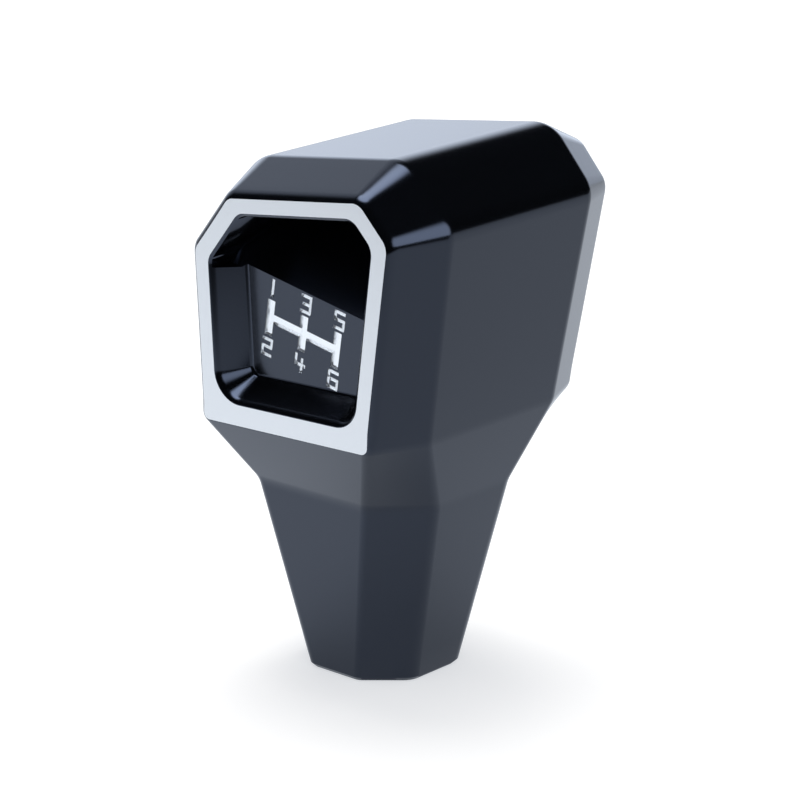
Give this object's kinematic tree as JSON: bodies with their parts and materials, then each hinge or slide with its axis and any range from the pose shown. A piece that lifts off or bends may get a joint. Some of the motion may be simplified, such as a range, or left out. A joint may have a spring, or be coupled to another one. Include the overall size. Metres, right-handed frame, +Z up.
{
  "type": "gear shift knob",
  "caption": "Machined aluminium gear shift knob with a tapered octagonal neck, a cranked faceted head open at the front, and a threaded steel lever insert in its foot.",
  "frame": {"origin": "centre of the foot on the surface the knob stands on, which is the axis of the lever thread at its mouth", "axes": "+Z up along the lever thread, -Y out of the open front face, +X towards the higher shoulder"},
  "size_m": [0.0508, 0.0542, 0.0916],
  "materials": {
    "black_anodised": "satin black anodised, with a bright milled front face and engraving",
    "insert_steel": "turned, zinc plated",
    "screw_steel": "black oxide"
  },
  "bodies": {
    "root": {"knob_body": "black_anodised", "lever_insert": "insert_steel", "grub_screws": "screw_steel"}
  },
  "joints": []
}
